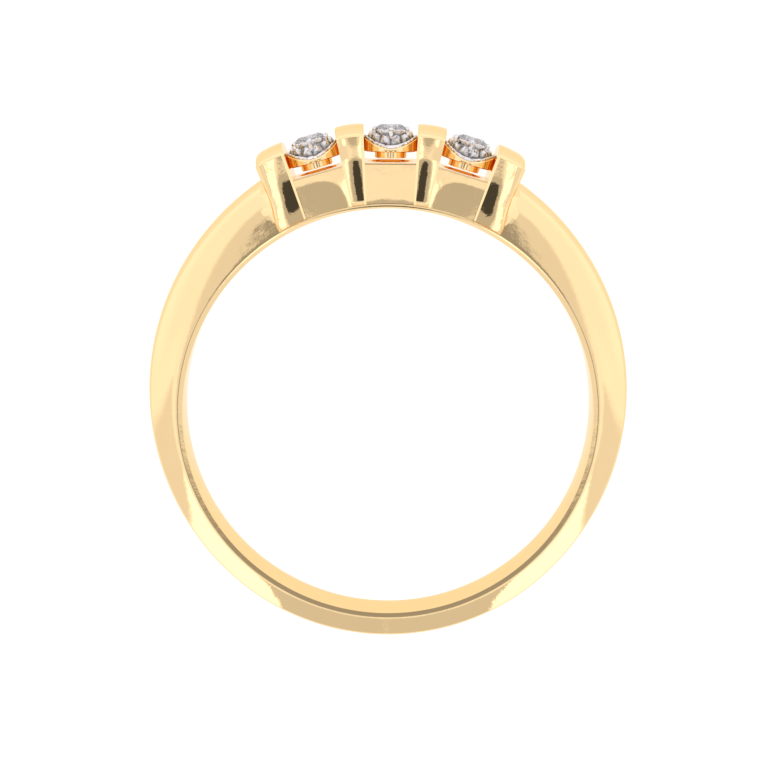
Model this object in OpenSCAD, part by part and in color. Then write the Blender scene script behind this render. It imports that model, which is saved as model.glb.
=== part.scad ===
// Diamond ring with three illusion settings held between four radial bars.
// Each piece is drawn with the finger along Z and the stones facing +Y, and heights over the finger are
// radii from the axis of the finger hole. The whole ring then lies on its side with the stones facing -Y.

/* [Finger hole] */
// Diameter of the finger hole
hole_d = 17; // [16.6:0.1:17.6]

/* [Shank] */
// Thickness at the back of the finger
back_t = 1.14; // [1:0.02:1.3]
// Thickness beside the outer bars
shoulder_t = 2.42; // [2.3:0.02:2.5]
// Width along the finger at the back
back_w = 2; // [1.9:0.02:2.2]
// Width along the finger at the feet of the bars
foot_w = 3.12; // [3.04:0.02:3.16]
// Width of the flat rim strip round the back and the sides
strip_w = 0.13; // [0.1:0.01:0.16]
// Width of the flat rim strip at the shoulders
shoulder_strip_w = 0.28; // [0.24:0.01:0.32]

/* [Head] */
// Angle from one stone to the next
stone_pitch = 16.5; // [16.4:0.1:16.8]
// Height of the bars over the finger hole
bar_h = 3.53; // [3.5:0.01:3.6]
// Width of the head along the finger
head_w = 3.3; // [3.26:0.02:3.4]
// Half the gap between two bars at their feet
foot_gap = 0.97; // [0.95:0.01:1]
// Half the gap between two bars at their tops
top_gap = 1.13; // [1.12:0.01:1.16]
// Height of the gallery over the finger hole
gallery_h = 1.92; // [1.86:0.02:1.96]
// Width of the gallery along the finger
gallery_w = 2.84; // [2.7:0.02:2.9]
// Diameter of the light hole under each stone
light_hole_d = 1.8; // [1.6:0.05:1.9]

/* [Cups and settings] */
// Height of a cup's flat bottom over the finger hole
cup_h = 2.47; // [2.45:0.01:2.5]
// Diameter of a gold cup
cup_d = 2.26; // [2.22:0.01:2.28]
// Diameter of a white metal setting
setting_d = 2.18; // [2.14:0.01:2.18]
// Number of flutes cut round a setting
flutes = 16; // [12:1:20]
// Number of claws round a stone
claws = 6; // [4:1:8]

/* [Stones] */
// Diameter of a stone
stone_d = 1.38; // [1.3:0.02:1.4]
// Height of a stone's girdle over the finger hole
girdle_h = 3.25; // [3.22:0.01:3.28]

/* [Hidden] */
gold = [0.93, 0.74, 0.42];
white_metal = [0.86, 0.86, 0.88];
clear_stone = [0.9, 0.95, 1, 0.6];
$fn = 64;

hole_r = hole_d / 2;
back_r = hole_r + back_t;
bar_r = hole_r + bar_h;
inside_r = hole_r - 0.3;

// Shank: where it starts to thicken, where it ends at the bars, and how its section is drawn
shoulder_a = 32;
taper_a = 135;
strip_taper_a = 80;
shank_end_a = 25;
taper_softness = 0.6;
flank_start_a = 18;
flank_steps = 6;
shank_steps = 72;

// Bars: the levels of their faces, and how far their front faces stand in from their sides
bar_z = head_w / 2;
bevel_z = bar_z - 0.2;
bar_low_r = inside_r;
bar_high_r = bar_r + 0.4;
foot_r = hole_r + 0.35;
bevel_top = 0.15;
bevel_foot = 0.09;
outer_bar_a = 24.8;
foot_front_r = hole_r + 0.45;
rail_h = 0.28;
rail_z = foot_w / 2;
gusset_high_r = hole_r + 2.3;

// Cap of the head: where the flat fronts end, and the steep cap above them
flat_front_r = hole_r + 1.3;
cap_low_r = bar_r - 0.6;
cap_low_z = bar_z - 0.04;
cap_high_r = bar_r - 0.15;
cap_high_z = bar_z - 0.45;

// Gallery: how far each block reaches past its gap, into the bars
block_w = 2 * foot_gap + 0.7;

// Cups: a barrel shape across the finger drapes their rims
drape_r = 1.5;
drape_top_r = hole_r + 3.07;
cup_floor = 0.06;
cup_wall = 0.13;
stub_r = 0.65;
stub_h = 0.31;
seat_gap = 0.015;

// Setting plates: a draped rim, a groove inside it, and fluted sides down to a round collet
rim_t = 0.08;
rim_w = 0.07;
groove_w = 0.03;
groove_depth = 0.04;
flute_depth = 0.05;
collet_r = 0.8;
collet_drop = 0.05;
collet_edge = 0.03;
hollow_r = 0.1;

// Claws and the room cut for a stone
claw_place_r = 0.76;
claw_r = 0.1;
claw_low = 0.45;
bead_r = 0.12;
stone_gap = 0.02;
girdle_r = hole_r + girdle_h;
room_depth = 0.44 * stone_d + 2 * stone_gap;
room_top = 0.14 * stone_d;
room_top_r = 0.42;
room_band = 0.03;

// Brilliant cut, as parts of the stone's diameter
table_part = 0.3;
star_part = 0.395;
lower_part = 0.15;
crown_part = 0.13;
pavilion_part = 0.43;
girdle_part = 0.012;

// Soft start and straight run of the shoulders' growing thickness, from 0 to 1
function ramp(u) =
    u <= 0 ? 0
    : (sqrt(taper_softness * taper_softness + u * u) - taper_softness)
      / (sqrt(taper_softness * taper_softness + 1) - taper_softness);

// Half the width along the finger at a place y, so that each side of the shank is one plane
function half_w(y) =
    back_w / 2 + (foot_w - back_w) / 2 * (y + back_r) / (foot_r + back_r);

function crown_r(a) =
    back_r + (shoulder_t - back_t) * ramp((taper_a - a) / (taper_a - shoulder_a));

function strip_r(a) =
    hole_r + strip_w
    + (shoulder_strip_w - strip_w) * max(0, (strip_taper_a - a) / (strip_taper_a - shoulder_a));

// Angle from the head, the same on both sides
function from_head(a) = min(a, 360 - a);

// Half of the D-shaped section, from the rim strip to just before the crown, as [radius, z]
function flank(p, top, h) = [
    for (i = [0:flank_steps - 1])
        let (
            t = flank_start_a + (90 - flank_start_a) * i / flank_steps,
            bow = (top - p) / (1 - sin(flank_start_a))
        )
        [top - bow * (1 - sin(t)), h / cos(flank_start_a) * cos(t)]
];

function section(a) =
    let (
        p = strip_r(from_head(a)),
        top = crown_r(from_head(a)),
        side = flank(p, top, half_w(p * cos(a))),
        inner = half_w(inside_r * cos(a))
    )
    concat(
        [[inside_r, inner]],
        side,
        [[top, 0]],
        [for (i = [flank_steps - 1:-1:0]) [side[i][0], -side[i][1]]],
        [[inside_r, -inner]]
    );

// A closed solid through rings of equal counts, each turning clockwise as seen along the row of rings
module loft(rings) {
    n = len(rings[0]);
    last = len(rings) - 1;
    points = [for (ring = rings) each ring];
    sides = [
        for (i = [0:last - 1])
            for (j = [0:n - 1])
                let (k = (j + 1) % n)
                each [
                    [i * n + j, i * n + k, (i + 1) * n + k],
                    [i * n + j, (i + 1) * n + k, (i + 1) * n + j]
                ]
    ];
    start = [for (j = [n - 1:-1:0]) j];
    end = [for (j = [0:n - 1]) last * n + j];
    polyhedron(concat(points), concat(sides, [start, end]));
}

function at_z(outline, z) = [for (p = outline) [p[0], p[1], z]];

// Half the gap between two bars at a radius
function gap(r) = foot_gap + (top_gap - foot_gap) * (r - foot_r) / (bar_r - foot_r);

// How far a bar's front face stands in from its side
function bevel(r) = bevel_foot + (bevel_top - bevel_foot) * (r - foot_r) / (bar_r - foot_r);

// A point on one edge of the gap over stone k, stood in by some part of the bevel
function gap_edge(k, side, r, bevelled) =
    let (
        x = side * (gap(r) + bevelled * bevel(r)),
        a = k * stone_pitch
    )
    [x * cos(a) + r * sin(a), r * cos(a) - x * sin(a)];

// A point beside the outer bar's own axis
function beside_outer_bar(x, r) =
    [x * cos(outer_bar_a) + r * sin(outer_bar_a), r * cos(outer_bar_a) - x * sin(outer_bar_a)];

function inner_bar_outline(bevelled) = [
    gap_edge(0, 1, bar_low_r, bevelled),
    gap_edge(1, -1, bar_low_r, bevelled),
    gap_edge(1, -1, bar_high_r, bevelled),
    gap_edge(0, 1, bar_high_r, bevelled)
];

// The outer bar's front face is narrow at the top and widens towards its foot
outer_front = [[0.72, bar_low_r], [0.6, foot_front_r], [0.36, bar_r - 0.6], [0.05, bar_high_r]];
outer_side = [[0.8, bar_low_r], [0.74, foot_front_r], [0.7, bar_r - 0.55], [0.42, bar_high_r]];

function outer_bar_outline(bevelled) =
    concat(
        [gap_edge(1, 1, bar_low_r, bevelled)],
        [for (p = bevelled > 0 ? outer_front : outer_side) beside_outer_bar(p[0], p[1])],
        [gap_edge(1, 1, bar_high_r, bevelled)]
    );

module bar(front, side) {
    loft([at_z(front, bar_z), at_z(side, bevel_z), at_z(side, -bevel_z), at_z(front, -bar_z)]);
}

// The sloped wall that carries the shank's flank up to an outer bar. Each row holds a radius, the wall's
// level along the bar, then how far beside the bar it ends and its level there
gusset_rows = [
    [gusset_high_r, 1.05, 1.02, 0.4],
    [hole_r + 1.9, 1.38, 1.22, 0.92],
    [hole_r + 1.1, 1.47, 1.22, 1.32],
    [bar_low_r, 1.52, 1.22, 1.5]
];
gusset_inner_x = 0.3;
gusset_bar_x = 0.68;

function gusset_ring(row) =
    let (
        half = [[gusset_inner_x, row[1]], [gusset_bar_x, row[1]], [row[2], row[3]]],
        outline = concat(half, [for (i = [2:-1:0]) [half[i][0], -half[i][1]]])
    )
    [for (p = outline) let (q = beside_outer_bar(p[0], row[0])) [q[0], q[1], p[1]]];

module gusset() {
    loft([for (row = gusset_rows) gusset_ring(row)]);
}

module shank() {
    loft([
        for (i = [0:shank_steps])
            let (a = shank_end_a + (360 - 2 * shank_end_a) * i / shank_steps)
            [for (p = section(a)) [p[0] * sin(a), p[0] * cos(a), p[1]]]
    ]);
}

// Side view of the head: flat fronts, a steep cap and a nearly flat top
module head_form() {
    half = [
        [inside_r, rail_z],
        [hole_r + rail_h, rail_z],
        [foot_front_r, bar_z],
        [flat_front_r, bar_z],
        [cap_low_r, cap_low_z],
        [cap_high_r, cap_high_z],
        [bar_r, 0]
    ];
    last = len(half) - 1;
    rotate_extrude($fn = 180)
        polygon(concat(half, [for (i = [last - 1:-1:0]) [half[i][0], -half[i][1]]]));
}

module at_stone(k) {
    rotate([0, 0, -k * stone_pitch]) children();
}

// A cylinder that stands up from the finger, from one radius to another
module upright(r, low, high) {
    translate([0, low, 0]) rotate([-90, 0, 0]) cylinder(r = r, h = high - low);
}

// The barrel across the finger that drapes a cup's rim, raised by some height
module drape(raise) {
    translate([0, drape_top_r - drape_r + raise, 0])
        rotate([0, 90, 0])
            cylinder(r = drape_r, h = 2 * cup_d, center = true, $fn = 96);
}

module gallery_block() {
    translate([-block_w / 2, inside_r, -gallery_w / 2])
        cube([block_w, gallery_h + hole_r - inside_r, gallery_w]);
    translate([-block_w / 2, inside_r, -rail_z])
        cube([block_w, rail_h + hole_r - inside_r, foot_w]);
}

module cup() {
    low = hole_r + cup_h;
    difference() {
        intersection() {
            upright(cup_d / 2, low, bar_r);
            drape(0);
        }
        upright(cup_d / 2 - cup_wall, low + cup_floor, bar_r + 1);
    }
    upright(stub_r, low - stub_h, low + cup_floor / 2);
}

module lying() {
    low_y = beside_outer_bar(outer_front[1][0], foot_front_r)[1];
    back_y = -hole_r - strip_w;
    lie_a = atan((bar_z - half_w(back_y)) / (low_y - back_y));
    top_y = bar_r * cos(asin(top_gap / bar_r));
    middle_y = (top_y - back_r) / 2 * cos(lie_a);
    lift = bar_z * cos(lie_a) - low_y * sin(lie_a);
    translate([0, middle_y, lift]) rotate([lie_a, 0, 180]) children();
}

module band() {
    color(gold) lying() difference() {
        union() {
            shank();
            intersection() {
                head_form();
                for (side = [0, 1]) mirror([side, 0, 0]) {
                    bar(inner_bar_outline(1), inner_bar_outline(0));
                    bar(outer_bar_outline(1), outer_bar_outline(0));
                }
            }
            for (side = [0, 1]) mirror([side, 0, 0]) gusset();
            for (k = [-1:1]) at_stone(k) {
                gallery_block();
                cup();
            }
        }
        cylinder(r = hole_r, h = 3 * head_w, center = true, $fn = 180);
        for (k = [-1:1]) at_stone(k)
            upright(light_hole_d / 2, inside_r - 1, hole_r + gallery_h + 0.1);
    }
}

// Height of the draped rim over a place z
function drape_y(z) = drape_top_r - drape_r + sqrt(drape_r * drape_r - z * z);

// A draped plate over a round foot: rings that follow the rim at some height, and level rings
module setting_body() {
    low = hole_r + cup_h + cup_floor + seat_gap;
    well_r = cup_d / 2 - cup_wall - seat_gap;
    rim_r = setting_d / 2;
    collet_y = girdle_r - collet_drop;
    steps = 2 * flutes;
    function ring(r, raise, cut) = [
        for (i = [0:steps - 1])
            let (
                a = 360 * i / steps,
                z = r * cos(a)
            )
            [r * sin(a), drape_y(z) + raise - cut * (i % 2), z]
    ];
    function level(r, y) = [
        for (i = [0:steps - 1])
            let (a = 360 * i / steps)
            [r * sin(a), y, r * cos(a)]
    ];
    loft([
        level(hollow_r, collet_y),
        level(collet_r - collet_edge, collet_y),
        level(collet_r, collet_y - collet_edge),
        ring(rim_r - rim_w - 2 * groove_w, rim_t, flute_depth),
        ring(rim_r - rim_w - groove_w, rim_t - groove_depth, 0),
        ring(rim_r - rim_w, rim_t, 0),
        ring(rim_r, rim_t, 0),
        ring(rim_r, seat_gap, 0),
        ring(well_r, seat_gap, 0),
        level(well_r, low)
    ]);
}

module stone_room() {
    r = stone_d / 2 + stone_gap;
    rotate([-90, 0, 0]) rotate_extrude()
        polygon([
            [0, girdle_r - room_depth],
            [r, girdle_r - room_band],
            [r, girdle_r + room_band],
            [room_top_r, girdle_r + room_top],
            [0, girdle_r + room_top]
        ]);
}

module setting(k) {
    color(white_metal) lying() at_stone(k) difference() {
        union() {
            setting_body();
            for (i = [0:claws - 1]) rotate([0, 360 / claws * i, 0]) translate([0, 0, claw_place_r]) {
                upright(claw_r, girdle_r - claw_low, girdle_r + collet_drop);
                translate([0, girdle_r + collet_drop, 0]) sphere(r = bead_r, $fn = 24);
            }
        }
        stone_room();
    }
}

// A round brilliant about the origin, its table facing +Y
module brilliant(d) {
    r = d / 2;
    table_r = table_part * d;
    crown_y = crown_part * d;
    star_r = star_part * d;
    girdle_y = girdle_part * d;
    culet_y = -pavilion_part * d;
    half_r = lower_part * d;
    main_drop = (crown_y - girdle_y) / (r - table_r);
    star_y = crown_y - (star_r * cos(22.5) - table_r) * main_drop;
    half_y = culet_y + (half_r * cos(22.5)) * (-girdle_y - culet_y) / r;
    function ringed(n, rad, y, turn) =
        [for (i = [0:n - 1]) let (a = 360 / n * i + turn) [rad * sin(a), y, rad * cos(a)]];
    points = concat(
        ringed(8, table_r, crown_y, 0),
        ringed(8, star_r, star_y, 22.5),
        ringed(16, r, girdle_y, 0),
        ringed(16, r, -girdle_y, 0),
        ringed(8, half_r, half_y, 22.5),
        [[0, culet_y, 0]]
    );
    star = 8;
    upper = 16;
    lower = 32;
    half = 48;
    culet = 56;
    faces = concat(
        [[for (i = [7:-1:0]) i]],
        [for (i = [0:7]) let (n = (i + 1) % 8, p = (i + 7) % 8) each [
            [i, n, star + i],
            [star + p, i, star + i, upper + 2 * i],
            [star + i, upper + 2 * i + 1, upper + 2 * i],
            [star + i, upper + 2 * n, upper + 2 * i + 1],
            [lower + 2 * i, lower + 2 * i + 1, half + i],
            [lower + 2 * i + 1, lower + 2 * n, half + i],
            [half + p, lower + 2 * i, half + i, culet]
        ]],
        [for (j = [0:15]) let (n = (j + 1) % 16) [upper + j, upper + n, lower + n, lower + j]]
    );
    polyhedron(points, faces);
}

module diamond(k) {
    color(clear_stone) lying() at_stone(k) translate([0, girdle_r, 0]) brilliant(stone_d);
}

band();
setting(1);  // setting_left
setting(0);  // setting_centre
setting(-1);  // setting_right
diamond(1);  // diamond_left
diamond(0);  // diamond_centre
diamond(-1);  // diamond_right
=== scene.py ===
import math

import bmesh
import bpy
from mathutils import Matrix, Vector


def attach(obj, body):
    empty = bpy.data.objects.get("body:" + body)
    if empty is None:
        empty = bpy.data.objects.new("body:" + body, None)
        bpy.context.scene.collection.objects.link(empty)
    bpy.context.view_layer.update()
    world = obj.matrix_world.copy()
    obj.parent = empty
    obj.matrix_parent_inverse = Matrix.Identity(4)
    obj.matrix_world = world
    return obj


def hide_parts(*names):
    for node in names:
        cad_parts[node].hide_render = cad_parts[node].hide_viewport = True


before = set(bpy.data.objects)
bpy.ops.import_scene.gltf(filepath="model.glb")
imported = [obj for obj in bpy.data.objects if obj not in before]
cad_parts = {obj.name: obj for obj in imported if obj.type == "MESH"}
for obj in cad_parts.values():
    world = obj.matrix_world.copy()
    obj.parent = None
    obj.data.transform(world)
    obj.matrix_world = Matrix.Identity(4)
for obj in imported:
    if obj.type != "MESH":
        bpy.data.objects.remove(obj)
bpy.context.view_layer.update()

MM = 0.001

# Sizes are in millimetres and angles in degrees. The ring is made upright, with the finger along Z.

# The shank, by angles from the head's middle
HOLE_R = 8.5
BACK_T = 1.14
BACK_R = HOLE_R + BACK_T
BACK_W = 2.0
SHOULDER_T = 2.42
SHOULDER_A = 32
TAPER_A = 135
TAPER_SOFT = 0.6
SHANK_END_A = 25
FOOT_W = 3.12
STRIP_W = 0.13

# The bars, and the gallery between them
STONE_PITCH = 16.5
BAR_R = HOLE_R + 3.53
BAR_Z = 1.65
FOOT_R = HOLE_R + 0.35
FOOT_FRONT_R = HOLE_R + 0.45
FOOT_GAP = 0.97
TOP_GAP = 1.13
OUTER_BAR_A = 24.8
REST_BESIDE = 0.6
INSIDE_R = HOLE_R - 0.3
GALLERY_R = HOLE_R + 1.92
GALLERY_Z = 1.42
LIGHT_HOLE_R = 0.9

# The cups, which lie a little lower than in the solids
CUP_LOW = HOLE_R + 2.33
CUP_R = 1.13
CUP_WALL = 0.13
CUP_FLOOR = 0.06
STUB_R = 0.65
STUB_H = 0.27
DRAPE_R = 1.6
DRAPE_TOP = HOLE_R + 2.91

# The plates, claws and stones
SEAT_GAP = 0.015
PLATE_R = 1.09
RIM_T = 0.08
PETALS = 12
GIRDLE_R = HOLE_R + 3.25
STONE_R = 0.69
CLAWS = 6
CLAW_PLACE_R = 0.775
CLAW_R = 0.085
CLAW_H = 0.43
CLAW_LOW = GIRDLE_R - 0.45
BEAD_R = 0.095


# Places in the ring


def ring_width(y):
    """Half the shank's width along the finger at a height y."""
    return BACK_W / 2 + (FOOT_W - BACK_W) / 2 * (y + BACK_R) / (FOOT_R + BACK_R)


def beside_outer_bar(x, r):
    """A place beside an outer bar's axis by x and along it by r."""
    a = math.radians(OUTER_BAR_A)
    return (x * math.cos(a) + r * math.sin(a), r * math.cos(a) - x * math.sin(a))


def lying_place():
    """Turns the upright ring, stones up, onto its side with its stones towards -Y, in metres."""
    low_y = beside_outer_bar(REST_BESIDE, FOOT_FRONT_R)[1]
    back_y = -HOLE_R - STRIP_W
    lean = math.atan((BAR_Z - ring_width(back_y)) / (low_y - back_y))
    top_y = BAR_R * math.cos(math.asin(TOP_GAP / BAR_R))
    middle_y = (top_y - BACK_R) / 2 * math.cos(lean)
    lift = BAR_Z * math.cos(lean) - low_y * math.sin(lean)
    place = Matrix.Translation((0, middle_y, lift)) @ Matrix.Rotation(math.pi, 4, "Z")
    return Matrix.Scale(MM, 4) @ place @ Matrix.Rotation(lean, 4, "X")


LYING = lying_place()


def at_stone(k):
    """Turns a thing made at the middle stone to stone k, counted to the right of the upright ring."""
    return Matrix.Rotation(-math.radians(k * STONE_PITCH), 4, "Z")


def turned(section, a):
    """A section of radius and level, stood at an angle from the head's middle."""
    s, c = math.sin(math.radians(a)), math.cos(math.radians(a))
    return [(r * s, r * c, z) for r, z in section]


def both_sides(half):
    """Half an outline and its mirror image across the ring's middle, in one round."""
    return half + [(*point[:-1], -point[-1]) for point in reversed(half)]


def along(table, at):
    """A value from rows of place and value, straight between the rows."""
    if at <= table[0][0]:
        return table[0][1]
    for (place, value), (next_place, next_value) in zip(table, table[1:]):
        if at <= next_place:
            return value + (next_value - value) * (at - place) / (next_place - place)
    return table[-1][1]


# Making and joining meshes


def new_object(name, mesh):
    piece = bpy.data.objects.new(name, mesh)
    bpy.context.scene.collection.objects.link(piece)
    return piece


def skin(name, rings, place=None, mirrored=False):
    """A closed shell through rings of equal counts. Mirrored rings have their ends filled in strips."""
    count = len(rings[0])
    rows = len(rings)
    faces = []
    for i in range(rows - 1):
        for j in range(count):
            k = (j + 1) % count
            faces.append((i * count + j, i * count + k, (i + 1) * count + k, (i + 1) * count + j))
    for end in (0, (rows - 1) * count):
        if mirrored:
            for j in range(count // 2 - 1):
                faces.append((end + j, end + j + 1, end + count - 2 - j, end + count - 1 - j))
        else:
            faces.append(tuple(end + j for j in range(count)))
    mesh = bpy.data.meshes.new(name)
    mesh.from_pydata([tuple(p) for ring in rings for p in ring], [], faces)
    form = bmesh.new()
    form.from_mesh(mesh)
    bmesh.ops.remove_doubles(form, verts=form.verts, dist=1e-5)
    bmesh.ops.recalc_face_normals(form, faces=form.faces)
    if place is not None:
        form.transform(place)
    form.to_mesh(mesh)
    form.free()
    return new_object(name, mesh)


def settle(piece):
    """Makes a piece's modifiers part of its mesh."""
    bpy.context.view_layer.update()
    seen = piece.evaluated_get(bpy.context.evaluated_depsgraph_get())
    mesh = bpy.data.meshes.new_from_object(seen)
    piece.modifiers.clear()
    piece.data = mesh


def carve(piece, tools, how):
    """Joins tools to a piece, or cuts them from it, and takes the tools away."""
    for tool in tools:
        step = piece.modifiers.new("carve", "BOOLEAN")
        step.operation = how
        step.solver = "EXACT"
        step.object = tool
    settle(piece)
    for tool in tools:
        bpy.data.objects.remove(tool)


def smooth_by_angle(piece, angle):
    """Shades a piece smooth and keeps the edges over an angle sharp."""
    form = bmesh.new()
    form.from_mesh(piece.data)
    for face in form.faces:
        face.smooth = True
    for edge in form.edges:
        edge.smooth = len(edge.link_faces) == 2 and edge.calc_face_angle(0) < math.radians(angle)
    form.to_mesh(piece.data)
    form.free()


def weigh_normals(piece):
    """Lets the large faces keep their own shading beside narrow ones."""
    step = piece.modifiers.new("weigh", "WEIGHTED_NORMAL")
    step.keep_sharp = True
    step.mode = "FACE_AREA_WITH_ANGLE"
    settle(piece)


# The shank

# The rim strip round the finger hole, which is narrower at the head, and how far the hole's edge is opened
RIM_STRIP_W = 0.15
HEAD_STRIP_LESS = 0.1
EDGE_HEAD = 0.11
EDGE_BACK = 0.03
# The soft crease outside the strip reaches its full lean after a part of its width
CREASE_W = 0.12
CREASE_LEAN = 9.6
CREASE_PART = 0.6
# Narrow rows beside the strip's edge and the bars' edges keep them crisp
CRISP_STRIP = 0.01
CRISP = 0.012
# The flank's lean at its start and before its rounded crown, and its part of the way to the crown.
# The lean grows by a power. Beside the head the power is higher, so that the flank stays flat for longer,
# and past an angle it falls back over a span.
FLANK_LEAN = (11.5, 36)
FLANK_PART = 0.87
FLANK_POWER = 1.3
HEAD_POWER_MORE = 2.9
HEAD_FLAT_A = 36
HEAD_FLAT_SPAN = 34
# Under the bars and panels the strip runs on past the shank's start, a hair lower than the shank's own
HEAD_RIM_A = 25.6
HAIR = 0.002


def towards_head(a):
    """From 1 at the head's middle to 0 at the sides and behind."""
    return max(0.0, math.cos(math.radians(a)))


def hole_edge(a):
    """How far the finger hole's rim is opened."""
    return EDGE_BACK + (EDGE_HEAD - EDGE_BACK) * towards_head(a) ** 3


def strip_r(a):
    """The rim strip's outer radius."""
    return HOLE_R + hole_edge(a) + RIM_STRIP_W - HEAD_STRIP_LESS * towards_head(a) ** 6


def taper(u):
    """Rises softly from 0 where the taper starts to 1 beside the head."""
    if u <= 0:
        return 0.0
    return (math.hypot(TAPER_SOFT, u) - TAPER_SOFT) / (math.hypot(TAPER_SOFT, 1) - TAPER_SOFT)


def crown_r(a):
    """The shank's outer radius."""
    return BACK_R + (SHOULDER_T - BACK_T) * taper((TAPER_A - a) / (TAPER_A - SHOULDER_A))


def rim_rows(a, crease_steps=10):
    """The rim strip and the crease outside it, as radius and half width."""
    strip = strip_r(a)
    turn = math.cos(math.radians(a))
    rows = [(r, ring_width(r * turn)) for r in (INSIDE_R, strip - CRISP_STRIP, strip)]
    step = CREASE_W / crease_steps
    for i in range(crease_steps):
        lean = CREASE_LEAN * min(1, (i + 0.5) / crease_steps / CREASE_PART) ** 1.5
        r, level = rows[-1]
        rows.append((r + step, level - step * math.tan(math.radians(lean))))
    return rows


def shank_section(a, flank_steps=20, crown_steps=10):
    """Half a D section as radius and level, from inside the bore over the rim strip to the crown."""
    near = min(a, 360 - a)
    half = rim_rows(near)
    start_r, level = half[-1]
    top = crown_r(near)
    end = (top - start_r) * FLANK_PART
    beside_head = min(1, max(0, 1 - (near - HEAD_FLAT_A) / HEAD_FLAT_SPAN))
    power = FLANK_POWER + HEAD_POWER_MORE * beside_head ** 1.5
    for i in range(flank_steps):
        lean = FLANK_LEAN[0] + (FLANK_LEAN[1] - FLANK_LEAN[0]) * ((i + 0.5) / flank_steps) ** power
        level -= end / flank_steps * math.tan(math.radians(lean))
        half.append((start_r + end * (i + 1) / flank_steps, level))
    # The crown is part of an ellipse that starts at the flank's own lean, which is found by repeating
    rest = top - start_r - end
    pull = math.tan(math.radians(FLANK_LEAN[1])) * rest / level
    start = pull
    for _ in range(30):
        start = math.atan(pull * math.cos(start) / (1 - math.sin(start)))
    for i in range(1, crown_steps + 1):
        t = start + (math.pi / 2 - start) * i / crown_steps
        r = top - rest * (1 - math.sin(t)) / (1 - math.sin(start))
        half.append((r, level * math.cos(t) / math.cos(start)))
    return half


def make_shank(steps=300):
    rings = []
    for i in range(steps + 1):
        a = SHANK_END_A + (360 - 2 * SHANK_END_A) * i / steps
        half = shank_section(a)
        rings.append(turned(half + [(r, -z) for r, z in reversed(half[:-1])], a))
    return skin("shank", rings)


def make_head_rim(steps=56):
    rings = []
    for i in range(steps + 1):
        a = HEAD_RIM_A * (2 * i / steps - 1)
        half = [(r - HAIR, z - HAIR) for r, z in rim_rows(abs(a))]
        rings.append(turned(both_sides(half), a))
    return skin("head_rim", rings)


# The bars

# Their feet as radius and half width, from inside the finger hole out to the front
INNER_FOOT = [(INSIDE_R, 1.45), (8.75, 1.45), (8.78, 1.6), (8.81, BAR_Z - 0.01), (FOOT_FRONT_R, BAR_Z)]
OUTER_FOOT = [(INSIDE_R, 1.45), (8.79, 1.45), (8.81, 1.59), (8.83, 1.61), (9.1, 1.61)]
# How far their fronts lean back from upright at each radius, up to the caps
INNER_LEAN = [
    (FOOT_FRONT_R, 3.4), (9.95, 3.1), (10.6, 0.7), (10.72, -1.8),
    (10.85, -2.4), (11.1, -2.2), (11.4, -1.2),
]
OUTER_LEAN = [
    (9.1, 0.7), (9.3, 1.6), (9.6, 2.6), (9.95, 3.1), (10.1, 2.6),
    (10.4, 1.3), (10.6, 0.2), (10.9, -1.3), (11.5, -1.5),
]
# The rounded caps, and their lean where they start
CAP_H = 0.5
CAP_LEAN = 10
# The edges slope, and are wider at the top and narrower round the cap
EDGE_LEAN = 30
EDGE_W = 0.08
EDGE_WIDENS = 0.05
EDGE_CAP_PART = 0.35
# The inner bars' fronts are bowed
INNER_BOW_R = 4.5
# How far the outer bars' outer sides stand beside each bar's own axis, by radius
OUTER_SIDE = [(INSIDE_R, 0.98), (9.1, 0.96), (9.85, 0.83), (10.6, 0.76), (11.6, 0.73), (BAR_R, 0.65)]
# The width of the outer bars' rounded shoulders by radius, their depth, which is less on a narrow shoulder,
# and how far they fall on the way. The caps' corners are tighter by a part.
SHOULDER_W = [(INSIDE_R, 0.1), (9.1, 0.16), (9.85, 0.21), (10.6, 0.26), (11.6, 0.37), (BAR_R, 0.39)]
SHOULDER_DEPTH = 0.4
SHOULDER_FULL_W = 0.25
SHOULDER_FALL = 0.08
CAP_CORNER = 0.4
# The outer bars' fronts turn from their inner to their outer side at a soft ridge beside the bar's axis.
# The ridge's place is by radius, and the turn by distance from the ridge.
RIDGE = [(9.1, 0.48), (9.85, 0.29), (10.6, 0.15), (11.6, -0.22)]
RIDGE_TURN = [(-0.9, 5.4), (-0.5, 4.2), (-0.2, 2.6), (-0.1, 1.6), (0, -0.2), (0.06, -2.2), (0.4, -3.2)]
# No point of a bar's front half lies nearer to the ring's middle
MIDDLE_Z = 0.02


def gap_wall(k, side):
    """The wall of the gap beside stone k, as a place at each height along that stone's axis."""
    a = math.radians(k * STONE_PITCH)

    def wall(r):
        x = side * (FOOT_GAP + (TOP_GAP - FOOT_GAP) * (r - FOOT_R) / (BAR_R - FOOT_R))
        return Vector((x * math.cos(a) + r * math.sin(a), r * math.cos(a) - x * math.sin(a)))

    return wall


def outer_wall(r):
    """The outer side of an outer bar, as a place at a height along its axis."""
    return Vector(beside_outer_bar(along(OUTER_SIDE, r), r))


def bar_profile(foot, lean, front_steps=48, cap_steps=30, first=0.15):
    """The middle of a bar's front and cap as radius, level and lean, from inside the bore to the top."""
    rows = [(r, z, 0) for r, z in foot]
    r, z = foot[-1]
    start = math.atan(math.tan(math.radians(CAP_LEAN)) * CAP_H / BAR_Z)
    cap_start = BAR_R - CAP_H * (1 - math.sin(start))
    for step in [(cap_start - CRISP - r) / front_steps] * front_steps + [CRISP]:
        z -= step * math.tan(math.radians(along(lean, r + step / 2)))
        r += step
        rows.append((r, z, along(lean, r)))
    # The cap is part of an ellipse that starts with a faint edge at the front's top
    for i in range(cap_steps):
        t = start + (math.pi / 2 - start) * (i + first) / cap_steps
        level = z * math.cos(t) / math.cos(start)
        slope = math.degrees(math.atan2(BAR_Z * math.sin(t), CAP_H * math.cos(t)))
        rows.append((BAR_R - CAP_H * (1 - math.sin(t)), level, slope))
    return rows


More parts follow.
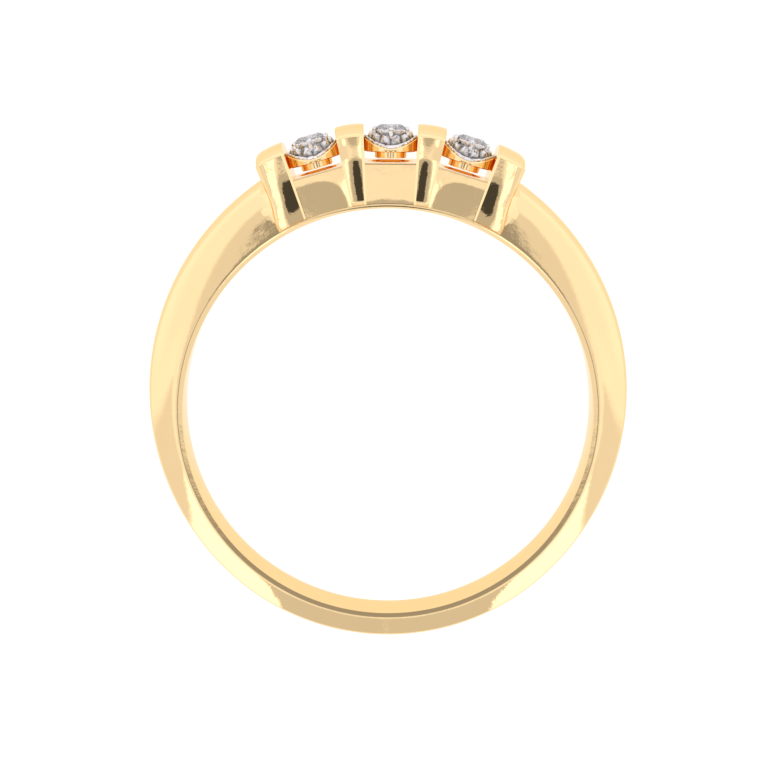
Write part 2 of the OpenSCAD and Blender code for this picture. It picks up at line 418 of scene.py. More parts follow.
def bowed_drop(r, d, left, right):
    """How far an inner bar's front lies under its middle, at a distance d from its left wall."""
    return (d - (right - left).length / 2) ** 2 / (2 * INNER_BOW_R)


def ridged_drop(r, d, left, right, steps=24):
    """How far an outer bar's front lies under its ridge, at a distance d from its inner wall."""
    a = math.radians(OUTER_BAR_A)
    beside = d + left.x * math.cos(a) - left.y * math.sin(a) - along(RIDGE, r)
    turns = [along(RIDGE_TURN, beside * (i + 0.5) / steps) for i in range(steps)]
    return -sum(beside / steps * math.tan(math.radians(turn)) for turn in turns)


def bar_places(wide, edge_w, far, rounded):
    """Distances from a bar's left wall across its front, closer together at its edges."""
    places = [0, edge_w - CRISP, edge_w, edge_w + CRISP]
    places += [edge_w + CRISP + (wide - edge_w - far - 2 * CRISP) * i / 16 for i in range(1, 16)]
    places += [wide - far - CRISP, wide - far]
    if rounded:
        return places + [wide - far * (1 - math.sin(math.pi / 2 * i / 10)) for i in range(1, 11)]
    return places + [wide - far + CRISP, wide]


def make_bar(side, left_wall, right_wall, profile, front_drop, shoulder=None):
    """A bar between two walls. Its edges slope, or the right one rounds off over a shoulder's widths."""
    slope = math.tan(math.radians(EDGE_LEAN))
    rings = []
    for r, level, lean in profile:
        a, b = left_wall(r), right_wall(r)
        wide = (b - a).length
        tilt = math.radians(lean)
        edge_w = EDGE_W + EDGE_WIDENS * (r - FOOT_R) / (BAR_R - FOOT_R)
        edge_w *= EDGE_CAP_PART + (1 - EDGE_CAP_PART) * math.cos(tilt)
        far = along(shoulder, r) if shoulder else edge_w
        half = []
        for d in bar_places(wide, edge_w, far, shoulder is not None):
            drop = front_drop(r, d, a, b) + max(0, edge_w - d) * slope
            beyond = d - (wide - far)
            rounding = 0
            if beyond > 0 and shoulder:
                s = min(1, beyond / far)
                depth = SHOULDER_DEPTH * min(1, far / SHOULDER_FULL_W)
                rounding = SHOULDER_FALL * far * s + depth * (1 - math.sqrt(1 - s * s))
            elif beyond > 0:
                drop += beyond * slope
            out = r - (drop + CAP_CORNER * rounding) * math.sin(tilt)
            spot = (a + (b - a) * d / wide).normalized() * out
            height = max(MIDDLE_Z, level - (drop + rounding) * math.cos(tilt))
            half.append((side * spot.x, spot.y, height))
        rings.append(both_sides(half))
    return skin("bar", rings, mirrored=True)


def make_bars():
    inner = bar_profile(INNER_FOOT, INNER_LEAN)
    outer = bar_profile(OUTER_FOOT, OUTER_LEAN)
    bars = []
    for side in (-1, 1):
        bars.append(make_bar(side, gap_wall(0, 1), gap_wall(1, -1), inner, bowed_drop))
        bars.append(make_bar(side, gap_wall(1, 1), outer_wall, outer, ridged_drop, SHOULDER_W))
    return bars


# The gallery

# Each panel has a soft round fold: inside it the panel leans back by some degrees from upright, and outside
# it it turns forward. The fold's middle is given beside the stone's axis and along it.
SIDE_FOLD = {
    "beside": 0.6, "along": 8.75, "half_x": 1.42, "half_y": 1.33, "power": 3.2, "lean": 1.2, "turn": 3.0,
}
MIDDLE_FOLD = {
    "beside": 0.0, "along": 4.77, "half_x": 4.2, "half_y": 4.2, "power": 2, "lean": 0.3, "turn": 2.3,
}
FOLD_SOFTNESS = 0.04
# How far a panel runs on into the bars, and its rounded top edge with one row on the way
PANEL_SEAT = 0.35
PANEL_EDGE = 0.025
PANEL_EDGE_ROW = (0.008, 0.007)
# The gussets fill the corners between the outer bars and the shank. Each is level from one place beside
# the bar's axis to another, where its slope begins. The rows are radius, level, and the slope's end as
# place and level.
GUSSET_START = 0.3
GUSSET_TURN = 0.68
GUSSET_ROWS = [
    (HOLE_R + 2.3, 1.05, 1.02, 0.4),
    (HOLE_R + 1.9, 1.38, 1.22, 0.92),
    (HOLE_R + 1.1, 1.47, 1.22, 1.32),
    (INSIDE_R, 1.45, 1.22, 1.4),
]
# The light hole as how much wider or narrower it is at each height
LIGHT_HOLE_ROWS = [
    (-0.1, INSIDE_R - 1),
    (-0.1, GALLERY_R - 0.32),
    (-0.06, GALLERY_R - 0.16),
    (0.03, GALLERY_R),
    (0.03, GALLERY_R + 0.1),
]
# The bore as distance outside the rim, and the part of the opened edge that is left there
BORE_ROWS = [(3.0, 1.0), (0, 1.0), (-0.02, 0.85), (-0.4, 0.78), (-0.9, 0.3)]


def fold_level(fold, k, x, r):
    """A panel's level beside stone k's axis by x and along it by r."""
    power = fold["power"]
    away_x = abs(x - k * fold["beside"]) / fold["half_x"]
    away_y = abs(r - fold["along"]) / fold["half_y"]
    beyond = ((away_x ** power + away_y ** power) ** (1 / power) - 1) * fold["half_y"]
    rise = (beyond + math.hypot(beyond, FOLD_SOFTNESS)) / 2
    level = GALLERY_Z - (r - INSIDE_R) * math.tan(math.radians(fold["lean"]))
    return level + rise * math.tan(math.radians(fold["turn"]))


def make_panel(k, half_count=32, steps=56):
    fold = SIDE_FOLD if k else MIDDLE_FOLD
    half_x = FOOT_GAP + PANEL_SEAT
    across = [half_x * (i / half_count - 1) for i in range(2 * half_count + 1)]
    top = GALLERY_R - PANEL_EDGE
    rows = [(INSIDE_R + (top - INSIDE_R) * i / steps, 0) for i in range(steps + 1)]
    rows += [(GALLERY_R - PANEL_EDGE_ROW[0], PANEL_EDGE_ROW[1]), (GALLERY_R, PANEL_EDGE)]
    rings = [both_sides([(x, r, fold_level(fold, k, x, r) - drop) for x in across]) for r, drop in rows]
    return skin("panel", rings, at_stone(k))


def make_gusset(side):
    rings = []
    for r, level, end_x, end_level in GUSSET_ROWS:
        outline = both_sides([(GUSSET_START, level), (GUSSET_TURN, level), (end_x, end_level)])
        places = [(beside_outer_bar(x, r), z) for x, z in outline]
        rings.append([(side * x, y, z) for (x, y), z in places])
    return skin("gusset", rings)


def make_bore():
    """What the finger hole takes away, opened a little at each rim and most at the head."""
    rings = []
    for side, rows in ((-1, BORE_ROWS), (1, BORE_ROWS[::-1])):
        for out, flare in rows:
            ring = []
            for i in range(360):
                a = i + 0.5
                level = ring_width(HOLE_R * math.cos(math.radians(a))) + out
                ring += turned([(HOLE_R + flare * hole_edge(a), side * level)], a)
            rings.append(ring)
    return skin("bore", rings)


def round_ring(r, height, count=96):
    """A ring about the Y axis, level or following the drape by a function of z."""
    points = []
    for i in range(count):
        a = 2 * math.pi * i / count
        x, z = r * math.sin(a), r * math.cos(a)
        points.append((x, height(z) if callable(height) else height, z))
    return points


def make_light_hole(k):
    """The hole through the gallery under stone k, a little wider at its top."""
    rings = [round_ring(LIGHT_HOLE_R + wider, y, 80) for wider, y in LIGHT_HOLE_ROWS]
    return skin("light_hole", rings, at_stone(k))


# The cups, and the band as a whole

# The small ring that ends the cup's shell on its axis, and the bevels of its foot, lip and inner edge
AXIS_R = 0.02
FOOT_BEVEL = 0.03
FOOT_BEVEL_W = 0.04
LIP_BEVEL = 0.025
INNER_BEVEL = 0.02
# Edges of the band over this angle stay sharp
BAND_SHARP = 28


def drape_y(z):
    """The height of the cup's draped lip over the middle of the ring, at a level z along the finger."""
    return DRAPE_TOP - DRAPE_R + math.sqrt(DRAPE_R * DRAPE_R - z * z)


def make_cup(k):
    inner = CUP_R - CUP_WALL
    floor = CUP_LOW + CUP_FLOOR
    stub_low = CUP_LOW - STUB_H
    rings = [
        round_ring(AXIS_R, stub_low),
        round_ring(STUB_R - FOOT_BEVEL, stub_low),
        round_ring(STUB_R, stub_low + FOOT_BEVEL),
        round_ring(STUB_R, CUP_LOW),
        round_ring(CUP_R - FOOT_BEVEL_W, CUP_LOW),
        round_ring(CUP_R, CUP_LOW + FOOT_BEVEL),
        round_ring(CUP_R, lambda z: drape_y(z) - LIP_BEVEL),
        round_ring(CUP_R - LIP_BEVEL, drape_y),
        round_ring(inner + INNER_BEVEL, drape_y),
        round_ring(inner, lambda z: drape_y(z) - INNER_BEVEL),
        round_ring(inner, floor),
        round_ring(AXIS_R, floor),
    ]
    return skin(f"cup_{k}", rings, at_stone(k))


def make_band():
    band = make_shank()
    gussets = [make_gusset(side) for side in (-1, 1)]
    panels = [make_panel(k) for k in (-1, 0, 1)]
    cups = [make_cup(k) for k in (-1, 0, 1)]
    carve(band, make_bars() + gussets + panels + [make_head_rim()] + cups, "UNION")
    carve(band, [make_bore()] + [make_light_hole(k) for k in (-1, 0, 1)], "DIFFERENCE")
    band.data.transform(LYING)
    smooth_by_angle(band, BAND_SHARP)
    weigh_normals(band)
    band.name = "gold_band"
    return band


# The settings

PLATE_SHARP = 25
COLLET_TOP = GIRDLE_R - 0.05
# The hollow for the stone and the collet round it, as radius and height
COLLET_ROWS = [
    (0.05, GIRDLE_R - 0.45),
    (STONE_R - 0.1, GIRDLE_R - 0.1),
    (STONE_R + 0.02, GIRDLE_R - 0.02),
    (STONE_R + 0.04, COLLET_TOP),
    (0.745, COLLET_TOP - 0.01),
    (0.755, COLLET_TOP - 0.16),
]
# The petals, the groove outside them and the rim, as radius, height over the drape and depth of the cuts
PETAL_ROWS = [
    (0.8, RIM_T + 0.19, 0.1),
    (0.92, RIM_T + 0.13, 0.17),
    (0.965, RIM_T - 0.02, 0.07),
    (0.98, RIM_T - 0.1, 0),
    (1.0, RIM_T - 0.1, 0),
    (1.015, RIM_T - 0.02, 0),
    (1.03, RIM_T, 0),
    (PLATE_R - 0.015, RIM_T, 0),
    (PLATE_R, RIM_T - 0.015, 0),
    (PLATE_R, SEAT_GAP, 0),
    (CUP_R - CUP_WALL - SEAT_GAP, SEAT_GAP, 0),
]
# The plate's recesses by radius, where painted shade darkens the white metal: the groove, the petals inside
# it, and the foot of the collet's wall, which gets a part of the full painted shade
GROOVE_FROM = 0.955
GROOVE_TO = 1.01
PETALS_FROM = 0.79
COLLET_FROM = 0.74
COLLET_PAINTED_SHADE = 0.8


def flute(a, depth):
    """The cuts between the plate's petals."""
    return -depth * abs(((a / (2 * math.pi) * PETALS) % 1.0) * 2 - 1)


def draped_ring(r, over, depth, count):
    """A ring that follows the drape and has the petals' cuts."""
    points = []
    for i in range(count):
        a = 2 * math.pi * i / count
        x, z = r * math.sin(a), r * math.cos(a)
        points.append((x, drape_y(z) + over + flute(a, depth), z))
    return points


def mark_painted_recess_shade(plate):
    """Marks where shade is painted: how deep each point lies between the petals, in the groove or under the
    stone's collet.
    """
    painted_recess_shade = plate.data.attributes.new("painted_recess_shade", "FLOAT", "POINT")
    for point, vertex in zip(painted_recess_shade.data, plate.data.vertices):
        x, y, z = vertex.co
        r = math.hypot(x, z)
        if GROOVE_FROM < r < GROOVE_TO:
            point.value = 1.0
        elif PETALS_FROM < r < GROOVE_FROM:
            point.value = flute(math.atan2(x, z), 1.0) ** 2
        elif COLLET_FROM < r < PETALS_FROM and y < COLLET_TOP - 0.05:
            point.value = COLLET_PAINTED_SHADE


def make_plate(k):
    """The white metal plate that drapes over the gold cup and rises to the stone's collet."""
    count = 16 * PETALS
    low = CUP_LOW + CUP_FLOOR + SEAT_GAP
    rings = [round_ring(r, y, count) for r, y in COLLET_ROWS]
    rings += [draped_ring(r, over, depth, count) for r, over, depth in PETAL_ROWS]
    rings += [round_ring(r, low, count) for r in (PETAL_ROWS[-1][0], COLLET_ROWS[0][0])]
    plate = skin(f"plate_{k}", rings)
    # The mask for the painted shade in the plate's recesses
    mark_painted_recess_shade(plate)
    return plate


def claw_tree():
    """A Geometry Nodes tree that stands claws with round tips in a ring about the Y axis."""
    tree = bpy.data.node_groups.new("ring_of_claws", "GeometryNodeTree")
    face = tree.interface
    sizes = {}
    for name, kind, value in (
        ("Claws", "NodeSocketInt", CLAWS),
        ("Ring radius", "NodeSocketFloat", CLAW_PLACE_R),
        ("Claw radius", "NodeSocketFloat", CLAW_R),
        ("Claw height", "NodeSocketFloat", CLAW_H),
        ("Tip radius", "NodeSocketFloat", BEAD_R),
        ("Foot height", "NodeSocketFloat", CLAW_LOW),
    ):
        socket = face.new_socket(name, in_out="INPUT", socket_type=kind)
        socket.default_value = value
        sizes[name] = socket.identifier
    metal = face.new_socket("Metal", in_out="INPUT", socket_type="NodeSocketMaterial")
    sizes["Metal"] = metal.identifier
    face.new_socket("Claws made", in_out="OUTPUT", socket_type="NodeSocketGeometry")
    nodes, links = tree.nodes, tree.links
    given = nodes.new("NodeGroupInput")
    out = nodes.new("NodeGroupOutput")

    # The ring of places
    circle = nodes.new("GeometryNodeMeshCircle")
    links.new(given.outputs["Claws"], circle.inputs["Vertices"])
    links.new(given.outputs["Ring radius"], circle.inputs["Radius"])
    upright = nodes.new("GeometryNodeTransform")
    upright.inputs["Rotation"].default_value = (-math.pi / 2, 0, 0)
    links.new(circle.outputs["Mesh"], upright.inputs["Geometry"])
    turn = nodes.new("GeometryNodeTransform")
    turn.inputs["Rotation"].default_value = (0, math.pi / 2, 0)
    links.new(upright.outputs["Geometry"], turn.inputs["Geometry"])

    # One claw: a stem with a bead on its top
    stem = nodes.new("GeometryNodeMeshCone")
    stem.inputs["Vertices"].default_value = 20
    links.new(given.outputs["Claw radius"], stem.inputs["Radius Bottom"])
    links.new(given.outputs["Claw radius"], stem.inputs["Radius Top"])
    links.new(given.outputs["Claw height"], stem.inputs["Depth"])
    tip = nodes.new("GeometryNodeMeshUVSphere")
    tip.inputs["Segments"].default_value = 20
    tip.inputs["Rings"].default_value = 12
    links.new(given.outputs["Tip radius"], tip.inputs["Radius"])
    lift = nodes.new("ShaderNodeCombineXYZ")
    links.new(given.outputs["Claw height"], lift.inputs["Z"])
    tip_up = nodes.new("GeometryNodeTransform")
    links.new(tip.outputs["Mesh"], tip_up.inputs["Geometry"])
    links.new(lift.outputs["Vector"], tip_up.inputs["Translation"])
    both = nodes.new("GeometryNodeJoinGeometry")
    links.new(stem.outputs["Mesh"], both.inputs["Geometry"])
    links.new(tip_up.outputs["Geometry"], both.inputs["Geometry"])
    stand = nodes.new("GeometryNodeTransform")
    stand.inputs["Rotation"].default_value = (-math.pi / 2, 0, 0)
    links.new(both.outputs["Geometry"], stand.inputs["Geometry"])

    # A claw at each place, raised to the collet
    place = nodes.new("GeometryNodeInstanceOnPoints")
    links.new(turn.outputs["Geometry"], place.inputs["Points"])
    links.new(stand.outputs["Geometry"], place.inputs["Instance"])
    raise_all = nodes.new("ShaderNodeCombineXYZ")
    links.new(given.outputs["Foot height"], raise_all.inputs["Y"])
    up = nodes.new("GeometryNodeTransform")
    links.new(place.outputs["Instances"], up.inputs["Geometry"])
    links.new(raise_all.outputs["Vector"], up.inputs["Translation"])
    real = nodes.new("GeometryNodeRealizeInstances")
    links.new(up.outputs["Geometry"], real.inputs["Geometry"])
    cover = nodes.new("GeometryNodeSetMaterial")
    links.new(real.outputs["Geometry"], cover.inputs["Geometry"])
    links.new(given.outputs["Metal"], cover.inputs["Material"])
    links.new(cover.outputs["Geometry"], out.inputs["Claws made"])
    return tree, sizes


def make_claws(tree, sizes, metal):
    """The claws as a plain mesh."""
    claws = new_object("claws", bpy.data.meshes.new("claws"))
    grow = claws.modifiers.new("claws", "NODES")
    grow.node_group = tree
    grow[sizes["Claws"]] = CLAWS
    grow[sizes["Metal"]] = metal
    settle(claws)
    return claws


def make_setting(k, tree, sizes, metal):
    plate = make_plate(k)
    smooth_by_angle(plate, PLATE_SHARP)
    plate.data.materials.append(metal)
    claws = make_claws(tree, sizes, metal)
    for polygon in claws.data.polygons:
        polygon.use_smooth = True
    form = bmesh.new()
    form.from_mesh(plate.data)
    form.from_mesh(claws.data)
    form.to_mesh(plate.data)
    form.free()
    bpy.data.objects.remove(claws)
    plate.data.transform(LYING @ at_stone(k))
    return plate


# The materials

# Clouds of tone, handling marks and slow waves in the polish, as how many to the millimetre
TONE_TO_MM = 0.9
MARKS_TO_MM = 14
WAVES_TO_MM = 1.6
# Bright cuts in the white metal: how many to the millimetre, and the dark grey of the painted shade in its
# recesses
CUTS_TO_MM = 5.5
RECESS_PAINTED_SHADE = (0.1, 0.09, 0.09, 1)
# How deep the polish and the cuts are, in metres
POLISH_DEPTH = 0.00001
CUT_DEPTH = 0.00009


def polish_group():
    """Shader node group for polished metal: faint tone, roughness and fine handling marks."""
    group = bpy.data.node_groups.new("polish", "ShaderNodeTree")
    face = group.interface
    for name, kind, value in (
        ("Colour", "NodeSocketColor", (1, 1, 1, 1)),
        ("Tone", "NodeSocketColor", (1, 1, 1, 1)),
        ("Roughness", "NodeSocketFloat", 0.1),
        ("Roughness spread", "NodeSocketFloat", 0.05),
        ("Marks", "NodeSocketFloat", 0.1),
        ("Waves", "NodeSocketFloat", 0.3),
    ):
        socket = face.new_socket(name, in_out="INPUT", socket_type=kind)
        socket.default_value = value
    face.new_socket("Colour", in_out="OUTPUT", socket_type="NodeSocketColor")
    face.new_socket("Roughness", in_out="OUTPUT", socket_type="NodeSocketFloat")
    face.new_socket("Normal", in_out="OUTPUT", socket_type="NodeSocketVector")
    nodes, links = group.nodes, group.links
    given = nodes.new("NodeGroupInput")
    out = nodes.new("NodeGroupOutput")
    where = nodes.new("ShaderNodeTexCoord")
    in_mm = nodes.new("ShaderNodeMapping")
    in_mm.inputs["Scale"].default_value = (1 / MM, 1 / MM, 1 / MM)
    links.new(where.outputs["Object"], in_mm.inputs["Vector"])

    def noise(scale, detail):
        cloud = nodes.new("ShaderNodeTexNoise")
        cloud.inputs["Scale"].default_value = scale
        cloud.inputs["Detail"].default_value = detail
        links.new(in_mm.outputs["Vector"], cloud.inputs["Vector"])
        return cloud.outputs["Fac"]

    wide = noise(TONE_TO_MM, 2)
    fine = noise(MARKS_TO_MM, 5)
    slow = noise(WAVES_TO_MM, 3)
    mix = nodes.new("ShaderNodeMix")
    mix.data_type = "RGBA"
    links.new(wide, mix.inputs["Factor"])
    links.new(given.outputs["Colour"], mix.inputs["A"])
    links.new(given.outputs["Tone"], mix.inputs["B"])
    links.new(mix.outputs["Result"], out.inputs["Colour"])
    spread = nodes.new("ShaderNodeMath")
    spread.operation = "MULTIPLY_ADD"
    links.new(fine, spread.inputs[0])
    links.new(given.outputs["Roughness spread"], spread.inputs[1])
    links.new(given.outputs["Roughness"], spread.inputs[2])
    links.new(spread.outputs["Value"], out.inputs["Roughness"])
    bump = nodes.new("ShaderNodeBump")
    bump.inputs["Distance"].default_value = POLISH_DEPTH
    links.new(given.outputs["Marks"], bump.inputs["Strength"])
    links.new(fine, bump.inputs["Height"])
    swell = nodes.new("ShaderNodeBump")
    swell.inputs["Distance"].default_value = POLISH_DEPTH
    links.new(given.outputs["Waves"], swell.inputs["Strength"])
    links.new(slow, swell.inputs["Height"])
    links.new(bump.outputs["Normal"], swell.inputs["Normal"])
    links.new(swell.outputs["Normal"], out.inputs["Normal"])
    return group


def metal(name, polish, colour, tone, roughness, spread, marks, waves, edge_tint):
    """A polished metal that changes slowly between its colour and its tone."""
    mat = bpy.data.materials.new(name)
    mat.use_nodes = True
    nodes, links = mat.node_tree.nodes, mat.node_tree.links
    shader = nodes["Principled BSDF"]
    shader.inputs["Metallic"].default_value = 1.0
    shader.inputs["Specular Tint"].default_value = (*edge_tint, 1)
    use = nodes.new("ShaderNodeGroup")
    use.node_tree = polish
    use.inputs["Colour"].default_value = (*colour, 1)
    use.inputs["Tone"].default_value = (*tone, 1)
    use.inputs["Roughness"].default_value = roughness
    use.inputs["Roughness spread"].default_value = spread
    use.inputs["Marks"].default_value = marks
    use.inputs["Waves"].default_value = waves
    links.new(use.outputs["Colour"], shader.inputs["Base Color"])
    links.new(use.outputs["Roughness"], shader.inputs["Roughness"])
    links.new(use.outputs["Normal"], shader.inputs["Normal"])
    return mat


def bright_cuts_and_painted_shade(mat):
    """Gives a metal small bright cuts, and painted shade that darkens its recesses to a grey."""
    nodes, links = mat.node_tree.nodes, mat.node_tree.links
    shader = nodes["Principled BSDF"]
    polish_normal = shader.inputs["Normal"].links[0].from_socket
    polish_colour = shader.inputs["Base Color"].links[0].from_socket
    where = nodes.new("ShaderNodeTexCoord")
    cells = nodes.new("ShaderNodeTexVoronoi")
    cells.inputs["Scale"].default_value = CUTS_TO_MM / MM
    links.new(where.outputs["Object"], cells.inputs["Vector"])
    cut = nodes.new("ShaderNodeBump")
    cut.inputs["Distance"].default_value = CUT_DEPTH
    links.new(cells.outputs["Distance"], cut.inputs["Height"])
    links.new(polish_normal, cut.inputs["Normal"])
    links.new(cut.outputs["Normal"], shader.inputs["Normal"])
    # Painted shade: the colour is mixed towards a dark grey where the mask marks the recesses
    deep = nodes.new("ShaderNodeAttribute")
    deep.attribute_name = "painted_recess_shade"
    mix = nodes.new("ShaderNodeMix")
    mix.data_type = "RGBA"
    links.new(deep.outputs["Fac"], mix.inputs["Factor"])
    links.new(polish_colour, mix.inputs["A"])
    mix.inputs["B"].default_value = RECESS_PAINTED_SHADE
    links.new(mix.outputs["Result"], shader.inputs["Base Color"])


def cut_stone():
    mat = bpy.data.materials.new("cut_diamond")
    mat.use_nodes = True
    shader = mat.node_tree.nodes["Principled BSDF"]
    shader.inputs["Base Color"].default_value = (0.95, 0.96, 1.0, 1)
    shader.inputs["Roughness"].default_value = 0.0
    shader.inputs["IOR"].default_value = 2.417
    shader.inputs["Transmission Weight"].default_value = 1.0
    return mat


def dress(piece, mat):
    piece.data.materials.clear()
    piece.data.materials.append(mat)


# The studio

# The camera in the upright ring's millimetres: over the stones' side of the finger hole
CAMERA_AT = Vector((0, 16.5, 92))
CAMERA_AIM = Vector((0.12, 0.8, 0))
CAMERA_ROLL = -0.6
LENS = 102.47
SENSOR_W = 36
# The floor's half width in metres, its grey and the light that comes through it
FLOOR_HALF = 0.6
FLOOR_GREY = (0.22, 0.22, 0.22, 1)
FLOOR_GLOW = 0.9
# The tent's brightness by degrees from straight over the ring: start and end of each soft step
TENT_MIDDLE = 0.98
TENT_ZONES = [(14.5, 17.5, 0.4), (21, 23, 0.92), (27, 31, 1.2), (50, 70, 1.3)]
# Its walls, by degrees round from the shank's side as start and end of each soft step. They begin at some
# degrees from overhead and end beside the head.
WALL_START = (33, 36)
WALL_END = (82, 92)
WALLS = [(0, 0.1, 0.76), (21.8, 22.8, 1.75), (46, 50, 0.97), (70, 76, 1.25)]
# Lamps as degrees round, degrees from overhead, radius, softness and brightness: one broad lamp on the
# shank's side, and small ones at both sides of the opening
SMALL_LAMPS = [(54, 9.3), (78, 8.9), (99, 10.3), (113, 12.4)]
LAMPS = [(0, 5.5, 5, 2.5, 1.12)]
LAMPS += [(side * at, over, 2.3, 0.4, 1.7) for side in (-1, 1) for at, over in SMALL_LAMPS]
# The dark lens over the ring and its grey hood, in the upright ring's millimetres
LENS_AT = Vector((0, 13, 92))
LENS_R = 7.0
LENS_SOFT = 0.3
LENS_DARK = 0.07
HOOD_GREY = 0.6
HOOD_EDGE_R = 12.5
HOOD_EDGE_SOFT = 0.4
HOOD_EDGE_GREY = 0.88
HOOD_R = 15.0


def make_camera():
    cam = bpy.data.cameras.new("camera")
    cam.sensor_width = SENSOR_W
    cam.lens = LENS
    cam.clip_start = 0.005
    cam.clip_end = 10
    eye = LYING @ CAMERA_AT
    aim = LYING @ CAMERA_AIM
    roll = math.radians(CAMERA_ROLL)
    up = LYING.to_3x3() @ Vector((math.sin(roll), math.cos(roll), 0))
    ahead = (aim - eye).normalized()
    right = ahead.cross(up).normalized()
    top = right.cross(ahead)
    holder = new_object("camera", cam)
    holder.matrix_world = Matrix((
        (right.x, top.x, -ahead.x, eye.x),
        (right.y, top.y, -ahead.y, eye.y),
        (right.z, top.z, -ahead.z, eye.z),
        (0, 0, 0, 1),
    ))
    bpy.context.scene.camera = holder


def make_floor():
    """A pale floor lit from below, as a light table is."""
    mesh = bpy.data.meshes.new("floor")
    s = FLOOR_HALF
    mesh.from_pydata([(-s, -s, 0), (s, -s, 0), (s, s, 0), (-s, s, 0)], [], [(0, 1, 2, 3)])
    floor = new_object("floor", mesh)
    mat = bpy.data.materials.new("pale_floor")
    mat.use_nodes = True
    shader = mat.node_tree.nodes["Principled BSDF"]
    shader.inputs["Base Color"].default_value = FLOOR_GREY
    shader.inputs["Roughness"].default_value = 0.9
    shader.inputs["Specular IOR Level"].default_value = 0.0
    shader.inputs["Emission Color"].default_value = (1, 1, 1, 1)
    shader.inputs["Emission Strength"].default_value = FLOOR_GLOW
    dress(floor, mat)


class LightNodes:
    """Builds a brightness out of zones, in a world's or a card's node tree."""

    def __init__(self, tree):
        self.nodes, self.links = tree.nodes, tree.links

    def join(self, kind, operation, *values):
        node = self.nodes.new(kind)
        node.operation = operation
        for socket, value in zip(node.inputs, values):
            if isinstance(value, bpy.types.NodeSocket):
                self.links.new(value, socket)
            else:
                socket.default_value = value
        return node.outputs["Value"]

    def degrees_from(self, direction, aim):
        """How far a direction is from an aim."""
        turn = self.join("ShaderNodeVectorMath", "DOT_PRODUCT", direction, tuple(aim))
        return self.join("ShaderNodeMath", "DEGREES", self.join("ShaderNodeMath", "ARCCOSINE", turn))

    def rise(self, value, start, end):
        """A soft step from 0 at start to 1 at end."""
        step = self.nodes.new("ShaderNodeMapRange")
        step.interpolation_type = "SMOOTHSTEP"
        self.links.new(value, step.inputs["Value"])
        step.inputs["From Min"].default_value = start
        step.inputs["From Max"].default_value = end
        return step.outputs["Result"]

    def blend(self, light, mask, value):
        """The light where the mask is 0, and the value where it is 1."""
        mix = self.nodes.new("ShaderNodeMix")
        self.links.new(mask, mix.inputs["Factor"])
        for socket, given in ((mix.inputs["A"], light), (mix.inputs["B"], value)):
            if isinstance(given, bpy.types.NodeSocket):
                self.links.new(given, socket)
            else:
                socket.default_value = given
        return mix.outputs["Result"]


def tent_direction(round_deg, over_deg):
    """A direction in the tent, by degrees round from the shank's side and degrees from overhead."""
    a, t = math.radians(round_deg), math.radians(over_deg)
    upright = Vector((math.sin(a) * math.sin(t), -math.cos(a) * math.sin(t), math.cos(t)))
    return (LYING.to_3x3() @ upright).normalized()


def make_tent():
    """Soft white light all round, as inside a light tent, with a round opening overhead."""
    world = bpy.data.worlds.new("tent")
    world.use_nodes = True
    tree = world.node_tree
    sky = tree.nodes["Background"]
    sky.inputs["Color"].default_value = (1, 1, 1, 1)
    make = LightNodes(tree)
    direction = tree.nodes.new("ShaderNodeTexCoord").outputs["Generated"]
    over = make.degrees_from(direction, tent_direction(0, 0))
    light = TENT_MIDDLE
    for start, end, value in TENT_ZONES:
        light = make.blend(light, make.rise(over, start, end), value)
    part = tree.nodes.new("ShaderNodeSeparateXYZ")
    tree.links.new(direction, part.inputs["Vector"])
    across = make.join("ShaderNodeMath", "ABSOLUTE", part.outputs["X"])
    turn = make.join("ShaderNodeMath", "ARCTAN2", across, part.outputs["Y"])
    around = make.join("ShaderNodeMath", "DEGREES", turn)
    wall = light
    for start, end, value in WALLS:
        wall = make.blend(wall, make.rise(around, start, end), value)
    wall = make.blend(wall, make.rise(around, *WALL_END), light)
    light = make.blend(light, make.rise(over, *WALL_START), wall)
    for round_deg, over_deg, radius, soft, value in LAMPS:
        away = make.degrees_from(direction, tent_direction(round_deg, over_deg))
        light = make.blend(light, make.rise(away, radius + soft, radius - soft), value)
    # The camera itself sees plain white behind the floor
    seen = tree.nodes.new("ShaderNodeLightPath")
    light = make.blend(light, seen.outputs["Is Camera Ray"], 1.0)
    tree.links.new(light, sky.inputs["Strength"])
    scene = bpy.context.scene
    scene.world = world
    scene.view_settings.view_transform = "Standard"
    # Light turns many times between the bars and cups before it comes out
    scene.cycles.max_bounces = 16
    scene.cycles.glossy_bounces = 12


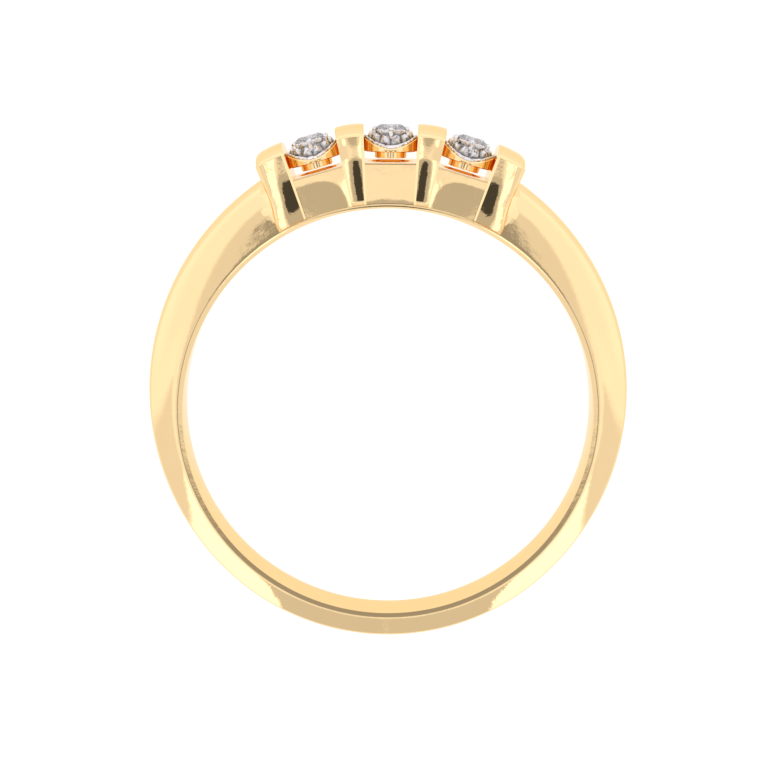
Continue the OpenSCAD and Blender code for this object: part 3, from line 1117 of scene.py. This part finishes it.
def make_lens_card(count=64):
    """A round card that the polished faces mirror as a lens in its hood."""
    turns = [2 * math.pi * i / count for i in range(count)]
    ring = [LYING @ (LENS_AT + Vector((HOOD_R * math.cos(a), HOOD_R * math.sin(a), 0))) for a in turns]
    mesh = bpy.data.meshes.new("lens_card")
    mesh.from_pydata([tuple(p) for p in ring], [], [tuple(range(count))])
    card = new_object("lens_card", mesh)
    mat = bpy.data.materials.new("lens_card")
    mat.use_nodes = True
    tree = mat.node_tree
    tree.nodes.clear()
    make = LightNodes(tree)
    where = tree.nodes.new("ShaderNodeTexCoord").outputs["Object"]
    away = make.join("ShaderNodeVectorMath", "DISTANCE", where, tuple(LYING @ LENS_AT))
    light = LENS_DARK
    for start, end, value in (
        (LENS_R - LENS_SOFT, LENS_R + LENS_SOFT, HOOD_GREY),
        (HOOD_EDGE_R - HOOD_EDGE_SOFT, HOOD_EDGE_R + HOOD_EDGE_SOFT, HOOD_EDGE_GREY),
        (HOOD_EDGE_R, HOOD_R, TENT_MIDDLE),
    ):
        light = make.blend(light, make.rise(away, start * MM, end * MM), value)
    glow = tree.nodes.new("ShaderNodeEmission")
    tree.links.new(light, glow.inputs["Strength"])
    out = tree.nodes.new("ShaderNodeOutputMaterial")
    tree.links.new(glow.outputs["Emission"], out.inputs["Surface"])
    mat.cycles.emission_sampling = "NONE"
    dress(card, mat)
    card.visible_camera = False
    card.visible_diffuse = False
    card.visible_shadow = False


# Putting the ring together

polish = polish_group()
gold = metal(
    "yellow_gold", polish, colour=(0.93, 0.69, 0.38), tone=(0.91, 0.66, 0.355), roughness=0.015,
    spread=0.03, marks=0.05, waves=0.4, edge_tint=(1.0, 0.86, 0.62),
)
white = metal(
    "white_metal", polish, colour=(0.84, 0.8, 0.8), tone=(0.62, 0.59, 0.6), roughness=0.05,
    spread=0.05, marks=0.1, waves=0.1, edge_tint=(1, 1, 1),
)
# Bright cuts, and painted shade in the white metal's recesses
bright_cuts_and_painted_shade(white)
stone = cut_stone()

band = make_band()
dress(band, gold)
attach(band, "root")
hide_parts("band")

tree, sizes = claw_tree()
for k, place in ((1, "left"), (0, "centre"), (-1, "right")):
    setting = make_setting(k, tree, sizes, white)
    setting.name = f"white_setting_{place}"
    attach(setting, "root")
    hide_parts(f"setting_{place}")
    dress(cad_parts[f"diamond_{place}"], stone)

make_floor()
make_tent()
make_lens_card()
make_camera()
